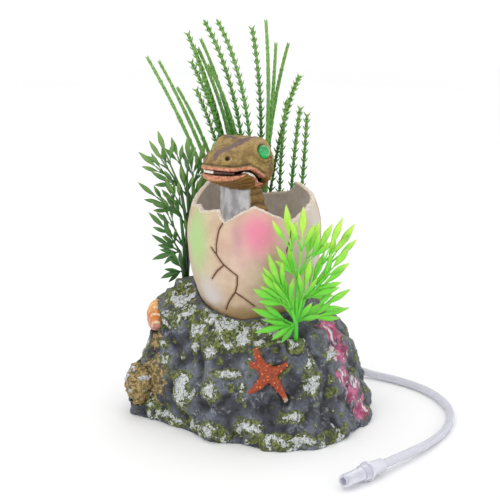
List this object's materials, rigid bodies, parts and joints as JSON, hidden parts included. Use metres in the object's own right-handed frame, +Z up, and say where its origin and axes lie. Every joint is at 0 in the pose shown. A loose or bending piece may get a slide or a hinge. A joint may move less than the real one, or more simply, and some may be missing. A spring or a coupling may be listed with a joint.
{
  "type": "bubbling aquarium ornament",
  "caption": "Painted resin aquarium bubbler: a hatchling dinosaur with a hinged skull in a cracked egg on a rock, with plastic plants and a clear air tube.",
  "frame": {"origin": "middle of the rock base's bounding box on the floor, with the free air tube left out", "axes": "+Z up; the front, with the starfish and the bright plant, faces -Y; +X is on the right seen from the front"},
  "size_m": [0.165, 0.1559, 0.1952],
  "materials": {
    "painted_rock_resin": "matte",
    "painted_shell_resin": "satin",
    "olive_skin_resin": "satin",
    "tooth_white": "gloss",
    "hinge_brass": "satin",
    "clear_tube": "gloss",
    "frosted_fitting": "satin",
    "black_rubber": "matte",
    "orange_resin": "matte",
    "shell_orange": "satin",
    "ochre_resin": "matte",
    "green_eye": "gloss",
    "bright_green_plastic": "satin",
    "dark_green_plastic": "satin",
    "leaf_green_plastic": "satin",
    "needle_green_plastic": "satin"
  },
  "bodies": {
    "ornament": {"rock_base": "painted_rock_resin", "egg_shell": "painted_shell_resin", "hatchling_body": "olive_skin_resin", "lower_jaw": "olive_skin_resin", "lower_teeth": "tooth_white", "jaw_hinge_pin": "hinge_brass", "inner_air_tube": "clear_tube", "air_nozzle": "frosted_fitting", "inlet_grommet": "black_rubber", "air_tube": "clear_tube", "airline_connector": "frosted_fitting", "starfish": "orange_resin", "orange_seashell": "shell_orange", "sponge_lump": "ochre_resin", "front_plant_plug": "bright_green_plastic", "front_plant_sprig_1": "bright_green_plastic", "front_plant_sprig_2": "bright_green_plastic", "front_plant_sprig_3": "bright_green_plastic", "left_plant_plug": "dark_green_plastic", "left_plant_sprig_1": "leaf_green_plastic", "left_plant_sprig_2": "leaf_green_plastic", "left_plant_sprig_3": "leaf_green_plastic", "left_plant_sprig_4": "leaf_green_plastic", "left_plant_sprig_5": "leaf_green_plastic", "rear_plant_plug_left": "dark_green_plastic", "rear_plant_plug_right": "dark_green_plastic", "rear_frond_1": "needle_green_plastic", "rear_frond_2": "needle_green_plastic", "rear_frond_3": "needle_green_plastic", "rear_frond_4": "needle_green_plastic", "rear_frond_5": "needle_green_plastic", "rear_frond_6": "needle_green_plastic", "rear_frond_7": "needle_green_plastic", "rear_frond_8": "needle_green_plastic", "rear_frond_9": "needle_green_plastic", "rear_frond_10": "needle_green_plastic", "rear_frond_11": "needle_green_plastic"},
    "skull": {"skull_shell": "olive_skin_resin", "eye_left": "green_eye", "eye_right": "green_eye", "upper_teeth": "tooth_white"}
  },
  "joints": [
    {"name": "mouth_hinge", "type": "hinge", "parent": "ornament", "child": "skull", "pos_m": [-0.00029, 0.00569, 0.12], "axis": [-0.7986, 0.6018, 0], "range_deg": [0, 20]}
  ]
}
